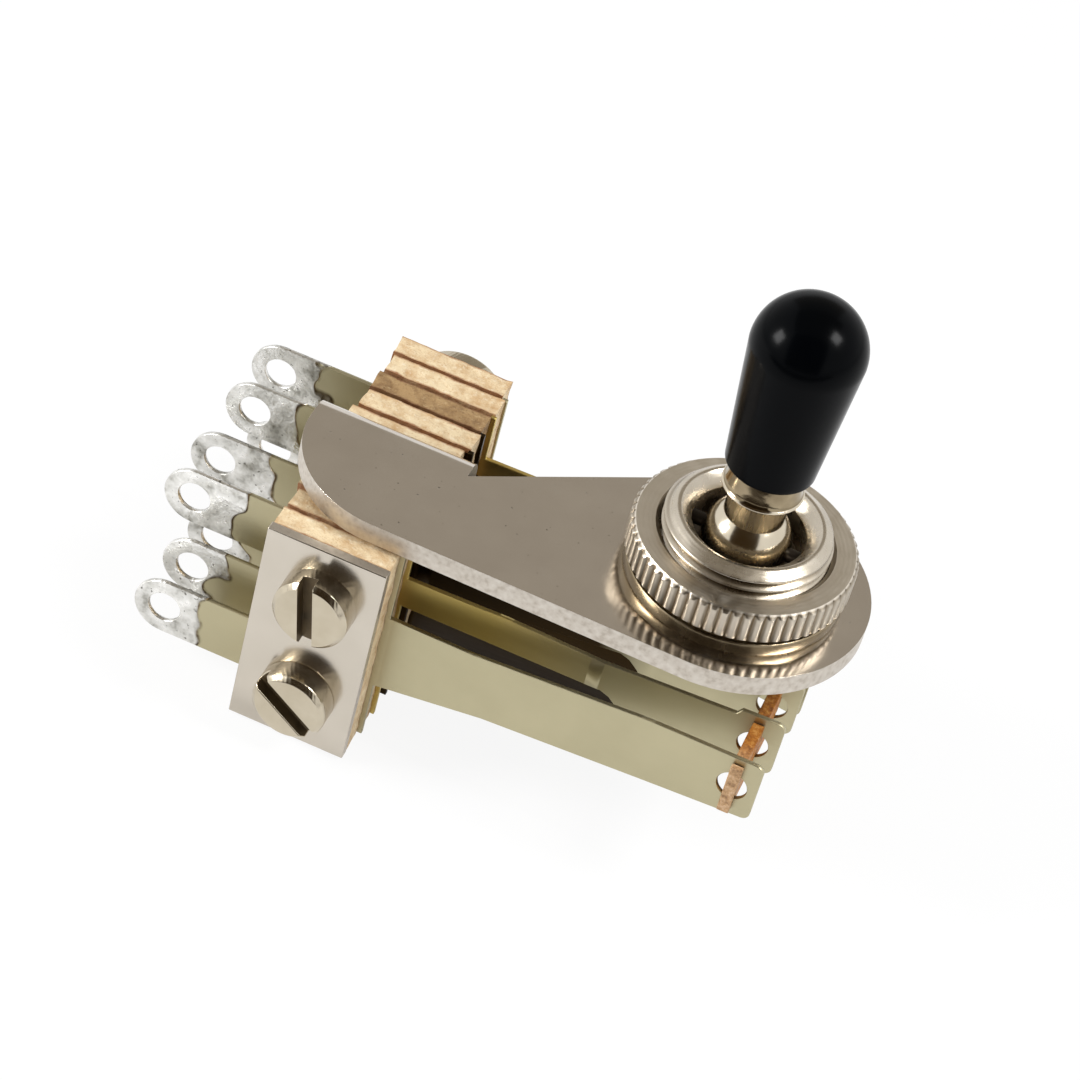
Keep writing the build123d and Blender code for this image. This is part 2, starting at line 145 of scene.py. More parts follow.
def plated_sheet():
    # Bright nickel plate over stamped steel sheet. The sheet is rolled flat and
    # tumbled before plating, so it mirrors softly, with small dark pits and a
    # faint waviness, and it is greyer where handling has dulled it.
    material, tree, place = new_finish("nickel_plated_stamped_steel")
    cloud = add(tree, "TexNoise", {"Vector": place, "Scale": 1000 / 5.0, "Detail": 3.0})["Fac"]
    face = add(tree, "Mix", {
        0: cloud, 6: tone("#cac2b8"), 7: tone("#ddd6cc"),
    }, data_type="RGBA")[2]
    grit = add(tree, "TexNoise", {"Vector": place, "Scale": 1000 / 0.32, "Detail": 1.0})["Fac"]
    pits = add(tree, "ValToRGB", {0: grit}, [(0.73, grey(0)), (0.8, grey(1))])[0]
    patch = add(tree, "TexNoise", {"Vector": place, "Scale": 1000 / 6.5})["Fac"]
    patches = add(tree, "ValToRGB", {0: patch}, [(0.35, grey(0.35)), (0.6, grey(1))])[0]
    pitted = add(tree, "Math", {0: pits, 1: patches}, operation="MULTIPLY")[0]
    colour = add(tree, "Mix", {0: pitted, 6: face, 7: tone("#6d6459")}, data_type="RGBA")[2]
    haze = add(tree, "TexNoise", {"Vector": place, "Scale": 1000 / 2.2, "Detail": 4.0})["Fac"]
    dull = add(tree, "ValToRGB", {0: haze}, [(0.3, grey(0.12)), (0.75, grey(0.22))])[0]
    swell = add(tree, "TexNoise", {"Vector": place, "Scale": 1000 / 3.5})["Fac"]
    wavy = add(tree, "Bump", {"Height": swell, "Distance": 0.02 * MM})[0]
    worn = add(tree, "Bump", {
        "Height": pitted, "Distance": 0.01 * MM, "Normal": wavy,
    }, invert=True)[0]
    shader = add(tree, "BsdfPrincipled", {
        "Base Color": colour, "Metallic": 1.0, "Roughness": dull, "Normal": worn,
    })
    add(tree, "OutputMaterial", {"Surface": shader[0]})
    return material


def sheared_edge():
    # The plate's cut rim: the shear leaves it grainy, and the nickel over it is
    # pale and satin with small dark nicks.
    material, tree, place = new_finish("plated_sheared_edge")
    grain = add(tree, "TexNoise", {"Vector": place, "Scale": 1000 / 0.45, "Detail": 3.0})["Fac"]
    colour = add(tree, "ValToRGB", {0: grain}, [
        (0.3, tone("#b9b0a4")), (0.45, tone("#c6beb3")), (0.7, tone("#cfc8be")),
    ])[0]
    dull = add(tree, "ValToRGB", {0: grain}, [(0.35, grey(0.5)), (0.7, grey(0.36))])[0]
    nicked = add(tree, "Bump", {"Height": grain, "Distance": 0.015 * MM})[0]
    shader = add(tree, "BsdfPrincipled", {
        "Base Color": colour, "Metallic": 1.0, "Roughness": dull, "Normal": nicked,
    })
    add(tree, "OutputMaterial", {"Surface": shader[0]})
    return material


# Painted shade in the valleys of a turned piece's grooves: the radius it
# starts outside, the radii of a groove's valley and crest, the height it ends
# at, all in mm, and its share at the crest
NO_VALLEY_SHADE = (90, 91, 92, -99, 0)
THREAD_VALLEY_SHADE = (5.2, 5.5, 5.85, 5.1, 0.1)
KNURL_VALLEY_SHADE = (7.5, 7.68, 7.92, 3.78, 0.3)


def turned_nickel(name, light, dark, roughness, groove_mm, groove_depth_mm, valley_shade=NO_VALLEY_SHADE):
    # Nickel plate over turned brass or steel. The tool leaves fine rings round
    # the axis on each face it cuts, which spread the light into a soft fan, and
    # painted brown shade darkens the valleys of a thread or knurl.
    material, tree, place = new_finish(name)
    uneven = add(tree, "TexNoise", {"Vector": place, "Scale": 1000 / 1.6, "Detail": 3.0})["Fac"]
    colour = add(tree, "Mix", {0: uneven, 6: tone(dark), 7: tone(light)}, data_type="RGBA")[2]
    haze = add(tree, "TexNoise", {"Vector": place, "Scale": 1000 / 0.9})["Fac"]
    dull = add(tree, "ValToRGB", {0: haze}, [
        (0.3, grey(roughness)), (0.8, grey(roughness * 1.6)),
    ])[0]
    flat = add(tree, "VectorMath", {0: place, 1: (1, 1, 0)}, operation="MULTIPLY")[0]
    out = add(tree, "VectorMath", {0: flat}, operation="LENGTH")["Value"]
    drift = add(tree, "Math", {0: haze, 1: 0.25 * MM, 2: out}, operation="MULTIPLY_ADD")[0]
    start, valley, crest, ends_z, crest_share = valley_shade
    beyond = add(tree, "MapRange", {
        "Value": out, "From Min": start * MM, "From Max": (start + 0.05) * MM,
    })[0]
    deep = add(tree, "MapRange", {
        "Value": out, "From Min": crest * MM, "From Max": valley * MM, "To Min": crest_share,
    })[0]
    height = add(tree, "SeparateXYZ", {0: place})["Z"]
    under = add(tree, "MapRange", {
        "Value": height, "From Min": ends_z * MM, "From Max": (ends_z - 0.1) * MM,
    })[0]
    valley_shaded = add(tree, "Math", {0: beyond, 1: deep}, operation="MULTIPLY")[0]
    valley_shaded = add(tree, "Math", {0: valley_shaded, 1: under}, operation="MULTIPLY")[0]
    # painted shade: brown in the valleys of the thread or knurl
    colour = add(tree, "Mix", {0: valley_shaded, 6: colour, 7: tone("#64533a")}, data_type="RGBA")[2]
    turn = add(tree, "Math", {0: drift, 1: 2 * pi / (groove_mm * MM)}, operation="MULTIPLY")[0]
    rings = add(tree, "Math", {0: turn}, operation="SINE")[0]
    cut = add(tree, "Bump", {"Height": rings, "Distance": groove_depth_mm * MM})[0]
    dented = add(tree, "Bump", {"Height": uneven, "Distance": 0.008 * MM, "Normal": cut})[0]
    shader = add(tree, "BsdfPrincipled", {
        "Base Color": colour, "Metallic": 1.0, "Roughness": dull, "Normal": dented,
    })
    add(tree, "OutputMaterial", {"Surface": shader[0]})
    return material


def grease_and_shade_metal(name, colour):
    # Metal painted dark brown as the shade in the lever's socket, on its pin
    # and in the screws' slots, under a film of grease: the film is thicker in
    # places, so it is partly matt and partly wet.
    material, tree, place = new_finish(name)
    film = add(tree, "TexNoise", {"Vector": place, "Scale": 1000 / 1.2, "Detail": 3.0})["Fac"]
    brown = add(tree, "Mix", {0: film, 6: tone("#1b1309"), 7: tone(colour)}, data_type="RGBA")[2]
    dull = add(tree, "ValToRGB", {0: film}, [(0.35, grey(0.35)), (0.7, grey(0.6))])[0]
    wet = add(tree, "Bump", {"Height": film, "Distance": 0.02 * MM})[0]
    shader = add(tree, "BsdfPrincipled", {
        "Base Color": brown, "Metallic": 0.5, "Roughness": dull, "Normal": wet,
    })
    add(tree, "OutputMaterial", {"Surface": shader[0]})
    return material


def bright_cover():
    # Bright nickel plate over ground steel. It is the smoothest sheet here and
    # mirrors the floor cleanly, with only a slow waviness and a warm cast.
    material, tree, place = new_finish("bright_nickel_cover")
    cloud = add(tree, "TexNoise", {"Vector": place, "Scale": 1000 / 4.0})["Fac"]
    colour = add(tree, "Mix", {
        0: cloud, 6: tone("#beb6a9"), 7: tone("#cfc7bb"),
    }, data_type="RGBA")[2]
    dull = add(tree, "ValToRGB", {0: cloud}, [(0.3, grey(0.16)), (0.75, grey(0.24))])[0]
    swell = add(tree, "TexNoise", {"Vector": place, "Scale": 1000 / 3.0})["Fac"]
    wavy = add(tree, "Bump", {"Height": swell, "Distance": 0.02 * MM})[0]
    shader = add(tree, "BsdfPrincipled", {
        "Base Color": colour, "Metallic": 1.0, "Roughness": dull, "Normal": wavy,
    })
    add(tree, "OutputMaterial", {"Surface": shader[0]})
    return material


def leaf_sheet(name, sheltered_mm, bright_mm, painted_tone):
    # Rolled nickel silver spring sheet: a yellowish grey metal with a satin
    # face and fine rolling lines along its length. The lugs beyond the stack
    # were dipped in solder, which stands as bright, smooth, slightly lumpy tin
    # with grey blotches, a few dark specks and a wavy rim of burnt flux. A blade
    # has a painted tone from the stack to sheltered_mm, measured along x, and is
    # bare from bright_mm on: the inner ones are painted dark brown as shade under
    # the plate over most of their length, the middle ones get a painted golden
    # reflection near the stack, and the outer ones stay bright all over.
    material, tree, place = new_finish(name)
    parts = add(tree, "SeparateXYZ", {0: place})
    sway = add(tree, "TexNoise", {"Vector": place, "Scale": 1000 / 2.6, "Detail": 1.0})["Fac"]
    edge = add(tree, "Math", {
        0: sway, 1: 4.0 * MM, 2: (STACK_LEFT_X - 6.2) * MM,
    }, operation="MULTIPLY_ADD")[0]
    step = add(tree, "Math", {0: edge, 1: parts["X"]}, operation="SUBTRACT")[0]
    tin = add(tree, "MapRange", {"Value": step, "From Min": 0.0, "From Max": 0.12 * MM})[0]
    across = add(tree, "MapRange", {"Value": step, "From Min": -0.2 * MM, "From Max": 0.4 * MM})[0]
    rim = add(tree, "ValToRGB", {0: across}, [
        (0.05, grey(0)), (0.3, grey(1)), (0.5, grey(0.9)), (0.85, grey(0)),
    ])[0]
    stretched = add(tree, "Mapping", {"Vector": place, "Scale": (0.03, 1, 1)})[0]
    rolled = add(tree, "TexNoise", {"Vector": stretched, "Scale": 1000 / 0.12})["Fac"]
    stained = add(tree, "TexNoise", {"Vector": place, "Scale": 1000 / 4.5, "Detail": 3.0})["Fac"]
    streaky = add(tree, "Mix", {0: 0.3, 6: stained, 7: rolled}, data_type="RGBA")[2]
    bare = add(tree, "Mix", {
        0: streaky, 6: tone("#aba385"), 7: tone("#c1b999"),
    }, data_type="RGBA")[2]
    # the painted tone near the stack: painted shade on the inner blades, a painted golden
    # reflection on the middle ones
    fading = add(tree, "MapRange", {
        "Value": parts["X"], "From Min": sheltered_mm * MM, "From Max": bright_mm * MM,
        "To Min": 1.0, "To Max": 0.0,
    })[0]
    blade = add(tree, "Math", {
        0: parts["X"], 1: (STACK_RIGHT_X - 1) * MM,
    }, operation="GREATER_THAN")[0]
    painted_share = add(tree, "Math", {0: fading, 1: blade}, operation="MULTIPLY")[0]
    bare = add(tree, "Mix", {0: painted_share, 6: bare, 7: tone(painted_tone)}, data_type="RGBA")[2]
    blotch = add(tree, "TexNoise", {
        "Vector": place, "Scale": 1000 / 1.5, "Detail": 3.0, "Roughness": 0.6,
    })["Fac"]
    cast = add(tree, "ValToRGB", {0: blotch}, [
        (0.3, tone("#96948c")), (0.46, tone("#d6d5d0")), (0.7, tone("#f8f7f4")),
    ])[0]
    grit = add(tree, "TexNoise", {"Vector": place, "Scale": 1000 / 0.35, "Detail": 2.0})["Fac"]
    specks = add(tree, "ValToRGB", {0: grit}, [(0.66, grey(0)), (0.73, grey(0.8))])[0]
    cast = add(tree, "Mix", {0: specks, 6: cast, 7: tone("#4e4a42")}, data_type="RGBA")[2]
    colour = add(tree, "Mix", {0: tin, 6: bare, 7: cast}, data_type="RGBA")[2]
    burnt = add(tree, "ValToRGB", {0: blotch}, [(0.4, grey(0.15)), (0.55, grey(0.9))])[0]
    flux = add(tree, "Math", {0: rim, 1: burnt}, operation="MULTIPLY")[0]
    colour = add(tree, "Mix", {0: flux, 6: colour, 7: tone("#4f4230")}, data_type="RGBA")[2]
    satin = add(tree, "ValToRGB", {0: rolled}, [(0.3, grey(0.36)), (0.75, grey(0.46))])[0]
    cooled = add(tree, "ValToRGB", {0: blotch}, [(0.3, grey(0.42)), (0.7, grey(0.24))])[0]
    dull = add(tree, "Mix", {0: tin, 6: satin, 7: cooled}, data_type="RGBA")[2]
    lined = add(tree, "Bump", {"Height": rolled, "Distance": 0.002 * MM})[0]
    lumps = add(tree, "Math", {0: blotch, 1: tin}, operation="MULTIPLY")[0]
    lumpy = add(tree, "Bump", {"Height": lumps, "Distance": 0.2 * MM, "Normal": lined})[0]
    shader = add(tree, "BsdfPrincipled", {
        "Base Color": colour, "Metallic": 1.0, "Roughness": dull, "Normal": lumpy,
    })
    add(tree, "OutputMaterial", {"Surface": shader[0]})
    return material


def paper_laminate(name, pale, deep, seam, fleck, seam_share):
    # Paper laminate soaked in phenolic resin, sawn into plates. The sawn edge
    # is a mottled tan with pale paper flecks and dark pores, and the resin is
    # darker and redder towards the plate's two faces.
    material, tree, place = new_finish(name)
    mottle = add(tree, "TexNoise", {
        "Vector": place, "Scale": 1000 / 1.3, "Detail": 5.0, "Roughness": 0.65,
    })["Fac"]
    colour = add(tree, "ValToRGB", {0: mottle}, [(0.32, tone(deep)), (0.58, tone(pale))])[0]
    stretched = add(tree, "Mapping", {"Vector": place, "Scale": (0.7, 1, 0.7)})[0]
    fibre = add(tree, "TexNoise", {
        "Vector": stretched, "Scale": 1000 / 0.3, "Detail": 4.0, "Roughness": 0.7,
    })["Fac"]
    flecks = add(tree, "ValToRGB", {0: fibre}, [(0.56, grey(0)), (0.7, grey(0.6))])[0]
    colour = add(tree, "Mix", {0: flecks, 6: colour, 7: tone(fleck)}, data_type="RGBA")[2]
    holes = add(tree, "TexNoise", {"Vector": place, "Scale": 1000 / 0.2, "Detail": 2.0})["Fac"]
    pores = add(tree, "ValToRGB", {0: holes}, [(0.3, grey(0.6)), (0.42, grey(0))])[0]
    colour = add(tree, "Mix", {0: pores, 6: colour, 7: tone(deep)}, data_type="RGBA")[2]
    # how near a point is to the faces of its plate, from the plate's own place
    # in the stack: front plates count back from the tab, rear plates forward
    parts = add(tree, "SeparateXYZ", {0: place})
    front = add(tree, "Math", {0: TAB_FRONT_Y * MM, 1: parts["Y"]}, operation="SUBTRACT")[0]
    rear = add(tree, "Math", {0: parts["Y"], 1: TAB_REAR_Y * MM}, operation="SUBTRACT")[0]
    depth = add(tree, "Math", {0: front, 1: rear}, operation="MAXIMUM")[0]
    turn = add(tree, "Math", {0: depth, 1: 1 / (PLATE_PITCH * MM)}, operation="MULTIPLY")[0]
    within = add(tree, "Math", {0: turn}, operation="FRACT")[0]
    offset = add(tree, "Math", {0: within, 1: 0.42}, operation="SUBTRACT")[0]
    middle = add(tree, "Math", {0: offset}, operation="ABSOLUTE")[0]
    near = add(tree, "Math", {0: mottle, 1: 0.3, 2: middle}, operation="MULTIPLY_ADD")[0]
    band = add(tree, "ValToRGB", {0: near}, [(0.49, grey(0)), (0.58, grey(seam_share))])[0]
    colour = add(tree, "Mix", {0: band, 6: colour, 7: tone(seam)}, data_type="RGBA")[2]
    sawn = add(tree, "Bump", {"Height": fibre, "Distance": 0.1 * MM})[0]
    torn = add(tree, "Bump", {"Height": mottle, "Distance": 0.08 * MM, "Normal": sawn})[0]
    shader = add(tree, "BsdfPrincipled", {
        "Base Color": colour, "Roughness": 0.6, "Specular IOR Level": 0.35, "Normal": torn,
    })
    add(tree, "OutputMaterial", {"Surface": shader[0]})
    return material


def lifter_strip():
    # The same laminate punched as a narrow strip: orange brown and rich in
    # resin inside, paler and pinker at its handled outer end.
    material, tree, place = new_finish("punched_phenolic_strip")
    torn = add(tree, "TexNoise", {
        "Vector": place, "Scale": 1000 / 0.5, "Detail": 4.0, "Roughness": 0.7,
    })["Fac"]
    rich = add(tree, "ValToRGB", {0: torn}, [
        (0.3, tone("#5c2e08")), (0.5, tone("#a1600f")), (0.7, tone("#c48e46")),
    ])[0]
    dry = add(tree, "ValToRGB", {0: torn}, [
        (0.3, tone("#82603c")), (0.5, tone("#b8936a")), (0.7, tone("#d6b796")),
    ])[0]
    parts = add(tree, "SeparateXYZ", {0: place})
    outward = add(tree, "Math", {0: parts["Y"]}, operation="ABSOLUTE")[0]
    handled = add(tree, "MapRange", {
        "Value": outward, "From Min": 8.0 * MM, "From Max": 11.0 * MM,
    })[0]
    colour = add(tree, "Mix", {0: handled, 6: rich, 7: dry}, data_type="RGBA")[2]
    rough = add(tree, "Bump", {"Height": torn, "Distance": 0.15 * MM})[0]
    shader = add(tree, "BsdfPrincipled", {"Base Color": colour, "Roughness": 0.6, "Normal": rough})
    add(tree, "OutputMaterial", {"Surface": shader[0]})
    return material


def black_tip():
    # Moulded black plastic with a fine matt mould finish: nearly black, and its
    # highlights are soft and dim.
    material, tree, place = new_finish("moulded_black_plastic")
    cloud = add(tree, "TexNoise", {"Vector": place, "Scale": 1000 / 2.5})["Fac"]
    colour = add(tree, "Mix", {
        0: cloud, 6: tone("#010203"), 7: tone("#030406"),
    }, data_type="RGBA")[2]
    haze = add(tree, "TexNoise", {"Vector": place, "Scale": 1000 / 1.4, "Detail": 3.0})["Fac"]
    dull = add(tree, "ValToRGB", {0: haze}, [(0.3, grey(0.17)), (0.8, grey(0.24))])[0]
    peel = add(tree, "Bump", {"Height": haze, "Distance": 0.005 * MM})[0]
    shader = add(tree, "BsdfPrincipled", {
        "Base Color": colour, "Roughness": dull, "Normal": peel,
        "IOR": 1.5, "Specular IOR Level": 0.045,
    })
    add(tree, "OutputMaterial", {"Surface": shader[0]})
    return material


def moulded_nylon(name, colour):
    # Natural nylon, moulded: milky and half glossy.
    material, tree, place = new_finish(name)
    cloud = add(tree, "TexNoise", {"Vector": place, "Scale": 1000 / 1.5})["Fac"]
    milk = add(tree, "Mix", {0: cloud, 6: tone(colour), 7: tone("#efe9da")}, data_type="RGBA")[2]
    grain = add(tree, "TexNoise", {"Vector": place, "Scale": 1000 / 0.5})["Fac"]
    peel = add(tree, "Bump", {"Height": grain, "Distance": 0.01 * MM})[0]
    shader = add(tree, "BsdfPrincipled", {
        "Base Color": milk, "Roughness": 0.38, "IOR": 1.53, "Normal": peel,
    })
    add(tree, "OutputMaterial", {"Surface": shader[0]})
    return material


plate_metal = plated_sheet()
rim_metal = sheared_edge()
bushing_metal = turned_nickel(
    "bright_nickel_bushing", "#d0c7b8", "#b8ae9d", 0.22, 0.24, 0.001, THREAD_VALLEY_SHADE,
)
# the socket's dark brown finish is painted shade
recess_shade = grease_and_shade_metal("shaded_bushing_socket", "#5b4a31")
# the washer's darker colours are painted shade under the nut
shaded_washer_metal = turned_nickel("shaded_nickel_washer", "#a09279", "#7d6f58", 0.2, 0.3, 0.003)
nut_metal = turned_nickel(
    "satin_turned_nut", "#e0d8ca", "#cec5b6", 0.3, 0.33, 0.003, KNURL_VALLEY_SHADE,
)
lever_metal = turned_nickel("bright_nickel_lever", "#dcd2bf", "#c8bca5", 0.12, 0.3, 0.001)
# the collar's brown is a painted reflection of the shaded metal round it
collar_reflection_metal = turned_nickel("reflection_painted_collar", "#b5a689", "#4d3d27", 0.1, 0.3, 0.002)
# the slots' dark brown finish is painted shade
slot_shade = grease_and_shade_metal("shaded_screw_slot", "#7a6748")
screw_metal = turned_nickel("nickel_plated_screw", "#cbc1ae", "#b3a892", 0.17, 0.3, 0.002)
# the pin is painted dark, as the shade in the socket round it
shaded_pin_steel = grease_and_shade_metal("shaded_steel_pin", "#2a2014")
cover_metal = bright_cover()
# the last colour of each is its painted tone near the stack: painted shade for the inner leaves, a
# painted golden reflection for the middle ones; the outer leaves' range lies beyond their blades
leaf_metals = {
    "inner_fixed_leaf": leaf_sheet("nickel_silver_fixed_leaf", -3, -1, "#2e2211"),
    "inner_spring_leaf": leaf_sheet("nickel_silver_inner_leaf", -7, -3, "#2e2211"),
    "middle_spring_leaf": leaf_sheet("nickel_silver_middle_leaf", -14, -5, "#d2bb72"),
    "outer_spring_leaf": leaf_sheet("nickel_silver_outer_leaf", -60, -50, "#8a774a"),
}
point_metal = turned_nickel("silver_contact_point", "#e4e2dc", "#cfccc4", 0.2, 0.4, 0.002)
tan_laminate = paper_laminate(
    "tan_paper_laminate", "#e0cba6", "#bf9c70", "#84491a", "#f0e5ce", 0.85,
)
dark_laminate = paper_laminate(
    "dark_paper_laminate", "#a5865c", "#785a38", "#5a2c10", "#c4a980", 0.85,
)
strip_laminate = lifter_strip()
tip_plastic = black_tip()
cap_nylon = moulded_nylon("natural_nylon_cap", "#e0d8c4")
sleeve_tube = moulded_nylon("insulating_sleeve", "#c9b68c")


# Pieces


def curved(bm, low=1.5, high=26.0):
    # shades walls smooth that bend by low to high degrees from face to face, and
    # leaves flats flat
    for face in bm.faces:
        face.smooth = False
    for edge in bm.edges:
        if len(edge.link_faces) == 2:
            angle = edge.calc_face_angle(0.0)
            edge.smooth = angle < radians(high)
            if radians(low) < angle < radians(high):
                for face in edge.link_faces:
                    face.smooth = True


def softened(bm, width_mm, segments=2, sharper_than=30.0):
    # rounds the edges that a tumbled or moulded piece never has sharp, where two
    # faces meet at more than sharper_than degrees
    edges = [
        edge for edge in bm.edges
        if len(edge.link_faces) == 2 and edge.calc_face_angle(0.0) > radians(sharper_than)
    ]
    made = bmesh.ops.bevel(
        bm,
        geom=edges,
        offset=width_mm * MM,
        offset_type="OFFSET",
        segments=segments,
        profile=0.5,
        affect="EDGES",
        material=-1,
        clamp_overlap=True,
    )
    for face in made["faces"]:
        face.smooth = True
        for edge in face.edges:
            edge.smooth = True


def marked(bm, chosen):
    # marks the faces whose middle and normal are chosen, for a second finish
    for face in bm.faces:
        face.material_index = int(chosen(face.calc_center_median() / MM, face.normal))


def finished(bm, name, material, nodes, body, bends_with=None, second=None):
    # turns a bmesh into a piece that stands for its nodes and rides on a body,
    # or, when bends_with is given, is left unparented in place with its
    # transform baked in
    mesh = bpy.data.meshes.new(name)
    bm.to_mesh(mesh)
    bm.free()
    mesh.materials.append(material)
    if second:
        mesh.materials.append(second)
    piece = bpy.data.objects.new(name, mesh)
    bpy.context.scene.collection.objects.link(piece)
    if bends_with:
        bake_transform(piece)
    else:
        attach(piece, body)
    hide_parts(*nodes)


def copied(node):
    # a merged copy of a node's mesh, with its flat faces whole again
    bm = bmesh.new()
    bm.from_mesh(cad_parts[node].data)
    bmesh.ops.remove_doubles(bm, verts=bm.verts, dist=1e-6)
    bmesh.ops.dissolve_limit(bm, angle_limit=radians(1.0), verts=bm.verts, edges=bm.edges)
    return bm


def sliced(bm, axis, places_mm):
    # cuts the mesh across an axis, so that it can bend or be roughened there
    normal = Vector((axis == X, axis == Y, axis == Z))
    for place in places_mm:
        bmesh.ops.bisect_plane(
            bm,
            geom=bm.verts[:] + bm.edges[:] + bm.faces[:],
            dist=1e-7,
            plane_co=normal * place * MM,
            plane_no=normal,
        )


def steps(low, high, size):
    # evenly spaced places between two ends, at most one size apart
    count = max(1, ceil((high - low) / size))
    return [low + (high - low) * i / count for i in range(1, count)]


def turned(profile, turns, join=True):
    # spins a profile of (radius, z) points in millimetres round the bushing axis
    bm = bmesh.new()
    points = [bm.verts.new((r * MM, 0, z * MM)) for r, z in profile]
    pairs = list(zip(points, points[1:]))
    if join:
        pairs.append((points[-1], points[0]))
    edges = [bm.edges.new(pair) for pair in pairs]
    bmesh.ops.spin(
        bm,
        geom=points + edges,
        cent=(0, 0, 0),
        axis=(0, 0, 1),
        angle=2 * pi,
        steps=turns,
        use_merge=True,
        use_duplicate=False,
    )
    bmesh.ops.remove_doubles(bm, verts=bm.verts, dist=1e-6)
    bmesh.ops.recalc_face_normals(bm, faces=bm.faces)
    return bm


def shifted(bm, move):
    # moves each vertex to the radius that move(radius, angle, z) gives, in mm
    for vert in bm.verts:
        x, y, z = vert.co / MM
        radius = hypot(x, y)
        if radius > 1e-6:
            wanted = move(radius, atan2(y, x), z)
            vert.co.x *= wanted / radius
            vert.co.y *= wanted / radius


def arc(centre, radius, first, last, count):
    # points of an arc in the (radius, z) profile, angles in degrees from +radius
    r0, z0 = centre
    turn = [radians(first + (last - first) * i / count) for i in range(count + 1)]
    return [(r0 + radius * cos(a), z0 + radius * sin(a)) for a in turn]


def run(start, end, count):
    # points of a straight line in the (radius, z) profile, without its start
    (r0, z0), (r1, z1) = start, end
    return [(r0 + (r1 - r0) * i / count, z0 + (z1 - z0) * i / count) for i in range(1, count + 1)]


# The frame plate: stamped, folded and tumbled, so every edge is a little round.
# Its rim shows the sheared edge, but not where the tab is folded down.
bm = copied("frame_plate")
curved(bm)
softened(bm, 0.3, segments=6)
marked(bm, lambda middle, normal: (
    abs(normal.z) < RIM_LEAN and middle.z > 0.1 - PLATE_T and middle.y < 1
))
finished(
    bm, "plated_frame", plate_metal, ["frame_plate"], "frame", second=rim_metal,
)

# The bushing. Its thread is one helix cut into the barrel: the depth at a point
# follows from its height less its share of a turn.
outer = [(THREAD_R, z) for z in [0.9] + steps(0.9, THREAD_END_Z, 0.06)]
outer += [(THREAD_R, THREAD_END_Z)]
outer += run((THREAD_R, THREAD_END_Z), (THREAD_R - 0.85, BUSHING_TOP_Z), 8)
mouth = [
    (4.92, BUSHING_TOP_Z),
    (4.86, BUSHING_TOP_Z - 0.04),
    (4.0, 4.66),
    (SOCKET_R, 4.58),
    (SOCKET_R, SOCKET_FLOOR_Z),
    (2.3, 2.0),
    (1.8, 1.4),
    (1.8, 1.0),
    (2.9, -3.0),
    (7.0, -3.0),
    (7.0, -1.6),
    (THREAD_R, -1.6),
]
bm = turned(outer + mouth, 288)


def thread(radius, angle, z):
    # the barrel's radius after the cut, with a narrow flat left at crest and
    # root; nothing is cut inside the barrel or below it
    if radius < 5.05 or z < 0.95:
        return radius
    turn = ((z / THREAD_PITCH) - angle / (2 * pi)) % 1.0
    rise = abs(2 * turn - 1)
    cut = THREAD_R - THREAD_DEPTH * min(1.0, max(0.0, rise * 1.25 - 0.12))
    return min(radius, cut)


shifted(bm, thread)
curved(bm, 0.2, 60.0)
# the socket's inner walls and floor take the painted shade
marked(bm, lambda middle, _: hypot(middle.x, middle.y) < 3.9 and 1.0 < middle.z < 4.5)
finished(
    bm, "threaded_bushing", bushing_metal, ["bushing"], "frame",
    second=recess_shade,
)

# The washer: a turned ring with soft rims, its colour darkened as painted shade under the nut
washer = [(6.02, 0.0), (WASHER_R, 0.0), (WASHER_R, WASHER_TOP_Z), (6.02, WASHER_TOP_Z)]
bm = turned(washer, 192)
curved(bm)
softened(bm, 0.14, segments=3)
finished(bm, "bushing_ring", shaded_washer_metal, ["bushing_washer"], "frame")

# The nut: straight knurling round its rim, bevelled top and bottom
rim = [(7.2, 1.3), (NUT_R - 0.25, 1.3)]
rim += run((NUT_R - 0.25, 1.3), (NUT_R, 1.55), 3)
rim += [(NUT_R, z) for z in steps(1.55, NUT_TOP_Z - 0.3, 0.5)]
rim += [(NUT_R, NUT_TOP_Z - 0.3)]
rim += run((NUT_R, NUT_TOP_Z - 0.3), (NUT_R - 0.3, NUT_TOP_Z), 3)
rim += [(7.5, NUT_TOP_Z), (6.3, NUT_TOP_Z), (6.0, 3.6), (6.0, WASHER_TOP_Z), (7.2, WASHER_TOP_Z)]
bm = turned(rim, KNURLS * 6)


def knurl(radius, angle, z):
    # the rim's radius in the middle of a rib or in the groove beside it
    if radius < 7.45:
        return radius
    share = (angle / (2 * pi) * KNURLS) % 1.0
    groove = max(0.0, 1 - abs(share - 0.5) / 0.3)
    return min(radius, NUT_R - KNURL_DEPTH * groove)


shifted(bm, knurl)
curved(bm, 0.2, 20.0)
finished(bm, "knurled_nut", nut_metal, ["bushing_nut"], "frame")

# The lever: ball, slim neck, thin lip and collar, turned in one piece. Below the
# level of its pin the ball is smaller, and seats in the bushing.
profile = [(0.0, -9.9), (0.9, -9.9), (0.9, 0.9)]
profile += arc((0, BALL_Z), SEAT_R, -70, -20, 12)
profile += arc((0, BALL_Z), BALL_R, -9, 48, 24)
profile += [(NECK_R, 6.05), (NECK_R, 7.0), (NECK_R, 7.9)]
profile += [(2.14, 8.06), (2.24, 8.16), (2.6, 8.24)]
profile += arc((2.72, 8.42), 0.15, -75, 75, 6)
profile += [(2.7, 8.66), (2.64, 8.85), (2.55, 9.3), (2.44, 9.8), (2.3, TIP_BOTTOM_Z)]
profile += [(ROD_R, TIP_BOTTOM_Z), (ROD_R, ROD_TOP_Z), (0.0, ROD_TOP_Z)]
bm = turned(profile, 160, join=False)
curved(bm, 0.2, 40.0)
